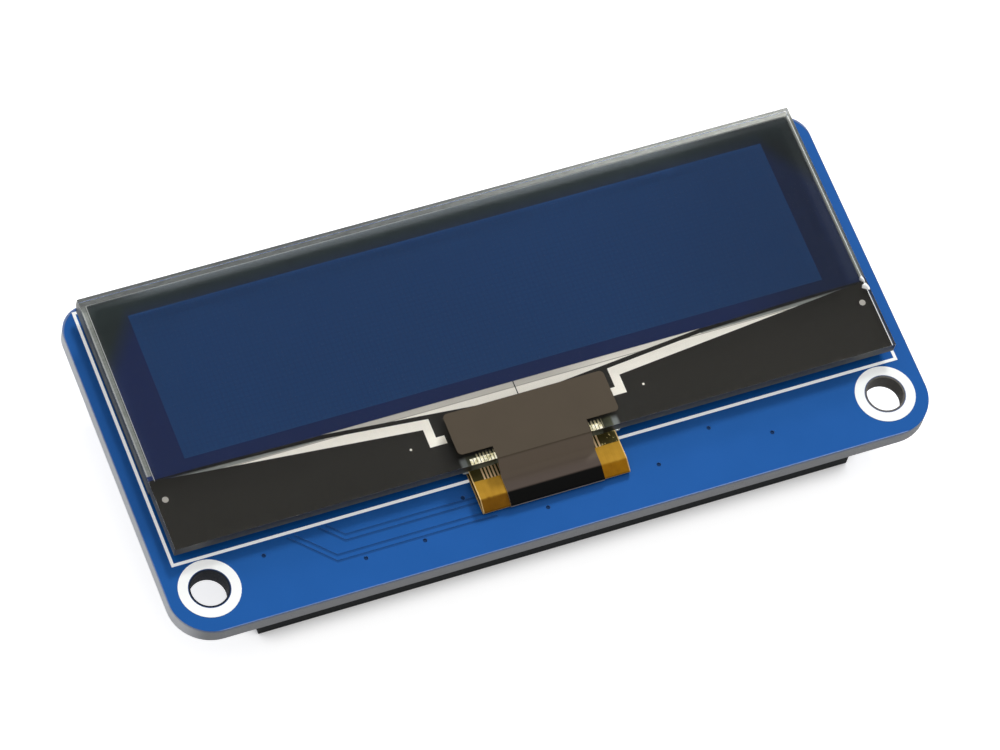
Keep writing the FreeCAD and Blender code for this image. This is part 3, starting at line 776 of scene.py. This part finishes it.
def flex_finish():
    """Amber film, dark next to the glass, with painted shade down its slope and under its fold, painted
    glints, and painted highlights on its cut edges.
    """
    made, shade = new_finish("amber_film")
    amber = palette().flex_amber
    place = shade.place()
    x, y, z = shade.split(place)
    low, high = node_box("display_flex")
    traces_front = node_box("flex_traces")[0][1]
    facing_up = shade.facing()[2]
    cloud = shade.noise(place, 1.2, 3.0)
    runs = shade.step(shade.zigzag(x / (2 * LEAD_PITCH)), 0.2, 0.3)
    shown = shade.blend(cloud, times(amber, 0.85), times(amber, 1.12))
    shown = shade.blend(runs * 0.10, shown, (0.30, 0.14, 0.012))

    # Painted shade down the slope, deeper at the left.
    slope_shading = shade.fall(y + cloud * 0.3, low[1] + 1.0, low[1] + 1.25)
    slope_shade_left = shade.blend(cloud, (0.12, 0.040, 0.0), (0.27, 0.11, 0.001))
    slope_shade_right = shade.blend(cloud, (0.25, 0.09, 0.0), (0.50, 0.22, 0.001))
    dark = shade.blend(shade.step(x, -1.0, 1.0), slope_shade_left, slope_shade_right)
    shown = shade.blend(slope_shading * 0.9, shown, dark)

    # A dark band on the film next to the glass.
    near_glass = shade.step(y, traces_front - 0.02, traces_front + 0.06)
    # Painted glints: gold specks on the right half of the dark band.
    copper_glints = shade.step(shade.noise(place, 3.5, 3.0, 0.7), 0.60, 0.70) * shade.step(x, -0.1, 0.1)
    near_glass_colour = shade.blend(copper_glints, (0.045, 0.036, 0.008), (0.75, 0.60, 0.25))
    shown = shade.blend(near_glass, shown, near_glass_colour)
    # Painted shade on the upward face of the film's lower run, under its fold.
    tail_shade = shade.step(facing_up, 0.2, 0.5) * shade.fall(z, 1.72, 1.80)
    shown = shade.blend(tail_shade * 0.7, shown, (0.11, 0.035, 0.003))

    # Painted highlights along the film's bottom bend and its long cut edges.
    nose = shade.fall(facing_up, -0.05, 0.30) * shade.fall(y, low[1] + 0.2, low[1] + 0.3)
    sides = shade.step(beyond(x, low, high), -0.10, -0.05)
    bright = shade.most(nose * 0.8, sides * 0.85)
    sockets = {
        "Base Color": shade.blend(bright, shown, (0.85, 0.58, 0.24)),
        "Roughness": cloud * 0.15 + 0.25,
        "Normal": shade.bump(runs * 0.004 + cloud * 0.03),
        "Specular IOR Level": 0.1,
    }
    shade.close(shade.surface(sockets))
    return made


def tape_finish():
    """Brown tape, satin on top, with a painted sheen and painted shade down its slope, near black
    painted shade where it bends down, and painted highlights on its cut edges.
    """
    made, shade = new_finish("shielding_tape")
    brown = palette().tape_brown
    place = shade.place()
    y = shade.split(place)[1]
    front = node_box("shield_tape")[0][1]
    facing = shade.facing()
    cloud = shade.noise(place, 0.35, 3.0)
    fine = shade.noise(place, 12.0, 2.0)
    # Painted sheen fading into painted shade down the slope, then near black painted shade where the
    # tape bends down.
    neck = shade.fall(y, front + 3.45, front + 3.65)
    bend = shade.fall(y, front + 1.35, front + 2.75)
    drop_shade = shade.fall(y, front + 0.95, front + 1.12)
    slope_shading = shade.blend(bend, (0.155, 0.120, 0.088), (0.074, 0.054, 0.043))
    shown = shade.blend(cloud, times(brown, 0.92), times(brown, 1.08))
    shown = shade.blend(neck, shown, slope_shading)
    shown = shade.blend(drop_shade, shown, (0.0030, 0.0028, 0.0025))

    # Painted highlights along the bottom bend and the cut sides of the tape.
    nose = shade.fall(facing[2], 0.20, 0.45) * shade.fall(y, front + 0.2, front + 0.3)
    sides = shade.step(abs(facing[0]), 0.6, 0.8) * shade.fall(y, front + 2.5, front + 3.0)
    sockets = {
        "Base Color": shade.blend(shade.most(nose, sides) * 0.8, shown, (0.46, 0.40, 0.34)),
        "Roughness": 0.5 + fine * 0.1,
        "Normal": shade.bump(fine * 0.002 + cloud * 0.02),
        "Specular IOR Level": 0.15,
    }
    shade.close(shade.surface(sockets))
    return made


def wear(names, finish):
    """Gives CAD nodes a finish."""
    for name in names:
        for slot in frame["nodes"][name].material_slots:
            slot.material = finish


def block(name, low, high, bevel):
    """A closed block with small bevels on all its edges."""
    shape = bmesh.new()
    bmesh.ops.create_cube(shape, size=1.0)
    size = Vector(high) - Vector(low)
    middle = (Vector(high) + Vector(low)) / 2
    for corner in shape.verts:
        corner.co = Vector(corner.co[i] * size[i] + middle[i] for i in range(3))
    bmesh.ops.bevel(shape, geom=shape.edges[:], offset=bevel, segments=2, profile=0.5, affect="EDGES")
    mesh = bpy.data.meshes.new(name)
    shape.to_mesh(mesh)
    shape.free()
    made = bpy.data.objects.new(name, mesh)
    bpy.context.scene.collection.objects.link(made)
    return made


class MODULE_OT_stage(bpy.types.Operator):
    """Adds the floor, the light and the camera"""

    bl_idname = "module.stage"
    bl_label = "Stage"

    def execute(self, context):
        studio = context.scene.module_studio
        self.add_floor(studio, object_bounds()[0][2])
        self.add_sky(context.scene, studio)
        self.add_key(studio)
        self.add_camera(context.scene)
        context.scene.view_settings.view_transform = "Standard"
        return {"FINISHED"}

    def add_floor(self, studio, level):
        """A white floor that glows where it is seen, and less close to the module."""
        half = studio.floor_size / 2
        mesh = bpy.data.meshes.new("floor")
        turns = ((-half, -half), (half, -half), (half, half), (-half, half))
        mesh.from_pydata([(x, y, level) for x, y in turns], [], [(0, 1, 2, 3)])
        floor = bpy.data.objects.new("floor", mesh)
        bpy.context.scene.collection.objects.link(floor)
        made, shade = new_finish("floor_white")
        cloud = shade.noise(shade.place(), 0.02, 2.0)
        seen = shade.light_path("Is Camera Ray") + shade.light_path("Is Glossy Ray")
        seen = seen + shade.light_path("Is Transmission Ray")
        near = {"Distance": studio.contact_reach}
        near = shade.node("ShaderNodeAmbientOcclusion", {"samples": 8}, near)
        clear = shade.step(Value(shade, near.outputs["AO"]), 0.30, 0.90) * 0.75 + 0.25
        seen = shade.maths("MINIMUM", seen, 1.0) * clear
        sockets = {
            "Base Color": shade.blend(cloud, times(studio.floor_colour, 0.99), studio.floor_colour),
            "Roughness": 0.9,
            "Specular IOR Level": 0.0,
            "Emission Color": shade.blend(seen, (0.0, 0.0, 0.0), (1.0, 1.0, 1.0)),
            "Emission Strength": studio.floor_lift,
        }
        shade.close(shade.surface(sockets))
        mesh.materials.append(made)
        floor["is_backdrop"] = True

    def add_sky(self, scene, studio):
        """Soft light from all round, stronger from the right and the back.

        The camera and glass see it white. Mirrors see a dark card overhead and a dark front.
        """
        world = bpy.data.worlds.new("studio")
        scene.world = world
        world.use_nodes = True
        shade = Shade(world.node_tree)
        direction = shade.node("ShaderNodeTexCoord", {}, {}).outputs["Generated"]
        x, y, z = shade.split(direction)
        middle = Vector(studio.card_direction).normalized()
        near = x * middle.x + y * middle.y + z * middle.z
        card_edge = math.cos(math.radians(42))
        card_core = math.cos(math.radians(28))
        card = shade.step(near, card_edge, card_core)
        front = shade.fall(y, -0.60, -0.05)
        mirrored = 1 - shade.most(card, front) * (1 - studio.card_level)
        soft = (1 + x * 0.45 + y * 0.60) * studio.sky_level
        seen = shade.light_path("Is Camera Ray") + shade.light_path("Is Transmission Ray")
        seen = shade.maths("MINIMUM", seen, 1.0)
        glossy = shade.light_path("Is Glossy Ray")
        level = seen + (1 - seen) * (glossy * mirrored + (1 - glossy) * soft)
        white = {"Color": (1.0, 1.0, 1.0, 1.0), "Strength": level}
        light = shade.node("ShaderNodeBackground", {}, white)
        shade.node("ShaderNodeOutputWorld", {}, {"Surface": light.outputs["Background"]})

    def add_key(self, studio):
        """A round lamp, low behind the module, that the camera doesn't see."""
        lamp = bpy.data.lights.new("key", "AREA")
        lamp.shape = "DISK"
        lamp.size = studio.key_size
        lamp.energy = studio.key_power
        key = bpy.data.objects.new("key", lamp)
        flat = math.cos(studio.key_elevation)
        away = Vector((
            flat * math.sin(studio.key_azimuth),
            flat * math.cos(studio.key_azimuth),
            math.sin(studio.key_elevation),
        ))
        key.location = away * studio.key_distance
        key.rotation_euler = away.to_track_quat("Z", "Y").to_euler()
        key.visible_camera = False
        bpy.context.scene.collection.objects.link(key)

    def add_camera(self, scene):
        """The camera, on its line of sight through the target and turned about it."""
        view = scene.module_view
        flat = math.cos(view.elevation)
        away = Vector((
            flat * math.sin(view.azimuth),
            -flat * math.cos(view.azimuth),
            math.sin(view.elevation),
        ))
        right = Vector((0.0, 0.0, 1.0)).cross(away).normalized()
        up = away.cross(right)
        turn = Matrix((right, up, away)).transposed().to_4x4() @ Matrix.Rotation(view.roll, 4, "Z")
        lens = bpy.data.cameras.new("camera")
        lens.sensor_width = 36.0
        lens.lens = view.lens
        lens.clip_start = 0.01
        lens.clip_end = 20.0
        camera = bpy.data.objects.new("camera", lens)
        spot = Vector(view.target) + away * view.distance
        camera.matrix_world = Matrix.Translation(spot) @ turn
        scene.collection.objects.link(camera)
        scene.camera = camera


class MODULE_OT_board(bpy.types.Operator):
    """Finishes the circuit board and its white print"""

    bl_idname = "module.board"
    bl_label = "Board"

    def execute(self, context):
        white = context.scene.module_colours.print_white
        paint = {"grain": 0.02, "size": 6.0, "relief": 0.003}
        # Painted light: the white print glows a little so that it stays light in shade.
        glow = {"Emission Color": (1.0, 1.0, 1.0, 1.0), "Emission Strength": 0.38}
        wear(["circuit_board"], board_finish())
        wear(["screen_print"], plain_finish("white_print", white, 0.5, **paint, **glow))
        return {"FINISHED"}


class MODULE_OT_glass(bpy.types.Operator):
    """Makes the two glasses and the polarizer, and finishes what lies between them"""

    bl_idname = "module.glass"
    bl_label = "Glass"

    def execute(self, context):
        glass = context.scene.module_glass
        # Keeps faces that touch apart, by less than can be seen
        hair = glass.sink / 10
        # The last colour of each glass is the painted light on its back and right edges.
        upper = glass_finish("clear_glass", "substrate_glass", (0.97, 0.985, 0.98), (0.75, 0.77, 0.74))
        lower = glass_finish("clear_glass_lower", "cap_glass", (0.95, 0.975, 0.965), (0.30, 0.32, 0.31))
        film = polarizer_finish()
        low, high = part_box("substrate_glass")
        low = (low[0], low[1], low[2] - glass.sink)
        self.replace("viewing_glass", "substrate_glass", low, high, glass.edge_bevel, upper)
        low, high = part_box("cap_glass")
        high = (high[0], high[1], high[2] + hair)
        self.replace("rear_glass", "cap_glass", low, high, glass.edge_bevel, lower)
        low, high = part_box("polarizer")
        low = (low[0], low[1], low[2] + hair)
        self.replace("polarizer_film", "polarizer", low, high, glass.film_bevel, film)
        self.chip()
        wear(["edge_seal"], seal_finish())
        wear(["panel_adhesive"], plain_finish("adhesive", (0.7, 0.7, 0.68), 0.6))
        wear(["desiccant_sheet"], plain_finish("drying_sheet", (0.75, 0.75, 0.72), 0.8))
        return {"FINISHED"}

    def chip(self):
        """Two splinters of glass at the right end of the polarizer's front edge, drawn as opaque pale
        grey for a painted glint.
        """
        glass_end = node_box("substrate_glass")[1]
        front = node_box("polarizer")[0][1]
        broken = {"grain": 0.3, "size": 4.0, "relief": 0.02}
        # Place from the right side of the glass and the front of the polarizer, then half sizes
        splinters = (
            (-0.30, -0.38, (0.42, 0.46, 0.12)),
            (-0.34, 0.34, (0.26, 0.42, 0.13)),
        )
        shape = bmesh.new()
        for x, y, size in splinters:
            spot = (glass_end.x + x, front + y, glass_end.z + 0.05)
            made = bmesh.ops.create_icosphere(shape, subdivisions=1, radius=1.0)
            for i, corner in enumerate(made["verts"]):
                ragged = 0.8 + 0.2 * math.sin(i * 2.4)
                corner.co = Vector((spot[k] + corner.co[k] * size[k] * ragged) * MM for k in range(3))
        mesh = bpy.data.meshes.new("edge_chip")
        shape.to_mesh(mesh)
        shape.free()
        piece = bpy.data.objects.new("edge_chip", mesh)
        bpy.context.scene.collection.objects.link(piece)
        # Painted glint: the splinters are opaque pale grey rather than clear glass.
        mesh.materials.append(plain_finish("splinter_glint", (0.80, 0.82, 0.78), 0.15, **broken))
        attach(piece, "root")

    def replace(self, name, node, low, high, bevel, finish):
        """A bevelled block in the place of a CAD node."""
        piece = block(name, low, high, bevel)
        piece.data.materials.append(finish)
        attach(piece, "root")
        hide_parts(node)


class MODULE_OT_screen(bpy.types.Operator):
    """Finishes the thin layers on the underside of the upper glass"""

    bl_idname = "module.screen"
    bl_label = "Screen"

    def execute(self, context):
        wear(["pixel_matrix"], layer_finish("pixel_layer", screen_colour))
        wear(["electrode_film"], layer_finish("electrode_layer", border_colour))
        wear(["fanout_film"], fanout_finish())
        wear(["bus_tracks"], track_finish())
        wear(["driver_chip"], plain_finish("silicon", (0.09, 0.09, 0.11), 0.2))
        return {"FINISHED"}


class MODULE_OT_flex(bpy.types.Operator):
    """Finishes the flexible circuit, its bond and the tape"""

    bl_idname = "module.flex"
    bl_label = "Flexible circuit"

    def execute(self, context):
        copper = {"grain": 0.2, "size": 4.0, "relief": 0.01, "Metallic": 0.35}
        wear(["display_flex"], flex_finish())
        wear(["shield_tape"], tape_finish())
        wear(["flex_traces"], plain_finish("copper_lines", (0.93, 0.60, 0.34), 0.3, **copper))
        wear(["bond_film"], plain_finish("bond_film", (0.12, 0.11, 0.08), 0.5))
        wear(["bond_resin"], plain_finish("bond_resin", (0.42, 0.45, 0.45), 0.15, Alpha=0.75))
        wear(["tail_pads"], metal_finish("tail_pads", (0.9, 0.75, 0.45), 0.3))
        return {"FINISHED"}


class MODULE_OT_header(bpy.types.Operator):
    """Finishes the socket header"""

    bl_idname = "module.header"
    bl_label = "Socket header"

    def execute(self, context):
        dull = {"grain": 0.3, "size": 2.0, "relief": 0.01, "Specular IOR Level": 0.08}
        wear(["header_body"], plain_finish("black_moulding", (0.008, 0.010, 0.012), 0.6, **dull))
        wear(["header_contacts"], metal_finish("gold_contacts", (0.95, 0.74, 0.38), 0.2))
        wear(["header_pads"], metal_finish("gold_pads", (0.9, 0.74, 0.42), 0.3))
        wear(["header_solder"], metal_finish("solder", (0.78, 0.79, 0.80), 0.22))
        return {"FINISHED"}


class MODULE_OT_small_parts(bpy.types.Operator):
    """Finishes the small parts on the underside"""

    bl_idname = "module.small_parts"
    bl_label = "Small parts"

    def execute(self, context):
        bodies = ["regulator_body", "boost_body", "diode_body"]
        leads = ["regulator_leads", "boost_leads"]
        ends = ["inductor_ends", "diode_ends", "capacitor_ends", "resistor_ends"]
        moulded = {"grain": 0.2, "size": 9.0, "relief": 0.008}
        pressed = {"grain": 0.25, "size": 8.0, "relief": 0.01}
        wear(bodies, plain_finish("chip_moulding", (0.032, 0.032, 0.034), 0.5, **moulded))
        wear(leads + ends, metal_finish("tin_plate", (0.82, 0.82, 0.80), 0.3))
        wear(["component_pads"], metal_finish("pad_gold", (0.9, 0.74, 0.42), 0.3))
        wear(["inductor_body"], plain_finish("ferrite", (0.06, 0.06, 0.062), 0.6, **pressed))
        wear(["capacitor_bodies"], plain_finish("capacitor_ceramic", (0.42, 0.29, 0.17), 0.4, size=6.0))
        glaze = plain_finish("resistor_glaze", (0.02, 0.02, 0.022), 0.3, grain=0.2, size=6.0)
        wear(["resistor_bodies"], glaze)
        return {"FINISHED"}


class MODULE_PT_panel(bpy.types.Panel):
    """Lists the pieces of the module"""

    bl_idname = "MODULE_PT_panel"
    bl_label = "Small OLED module"
    bl_space_type = "VIEW_3D"
    bl_region_type = "UI"
    bl_category = "Module"

    def draw(self, context):
        for operator in OPERATORS:
            self.layout.operator(operator.bl_idname)
        for group in GROUPS:
            settings_group = getattr(context.scene, group)
            for name in settings_group.bl_rna.properties.keys():
                if name not in ("rna_type", "name"):
                    self.layout.prop(settings_group, name)


OPERATORS = (
    MODULE_OT_board,
    MODULE_OT_glass,
    MODULE_OT_screen,
    MODULE_OT_flex,
    MODULE_OT_header,
    MODULE_OT_small_parts,
    MODULE_OT_stage,
)
GROUPS = {
    "module_view": ModuleView,
    "module_studio": ModuleStudio,
    "module_colours": ModuleColours,
    "module_glass": ModuleGlass,
}


def register():
    for group in GROUPS.values():
        bpy.utils.register_class(group)
    for name, group in GROUPS.items():
        setattr(bpy.types.Scene, name, bpy.props.PointerProperty(type=group))
    for operator in OPERATORS:
        bpy.utils.register_class(operator)
    bpy.utils.register_class(MODULE_PT_panel)


def unregister():
    bpy.utils.unregister_class(MODULE_PT_panel)
    for operator in reversed(OPERATORS):
        bpy.utils.unregister_class(operator)
    for name, group in GROUPS.items():
        delattr(bpy.types.Scene, name)
        bpy.utils.unregister_class(group)


def main():
    """Dresses the module."""
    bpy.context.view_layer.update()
    register()
    bpy.ops.module.board()
    bpy.ops.module.glass()
    bpy.ops.module.screen()
    bpy.ops.module.flex()
    bpy.ops.module.header()
    bpy.ops.module.small_parts()
    bpy.ops.module.stage()


if __name__ == "__main__":
    main()
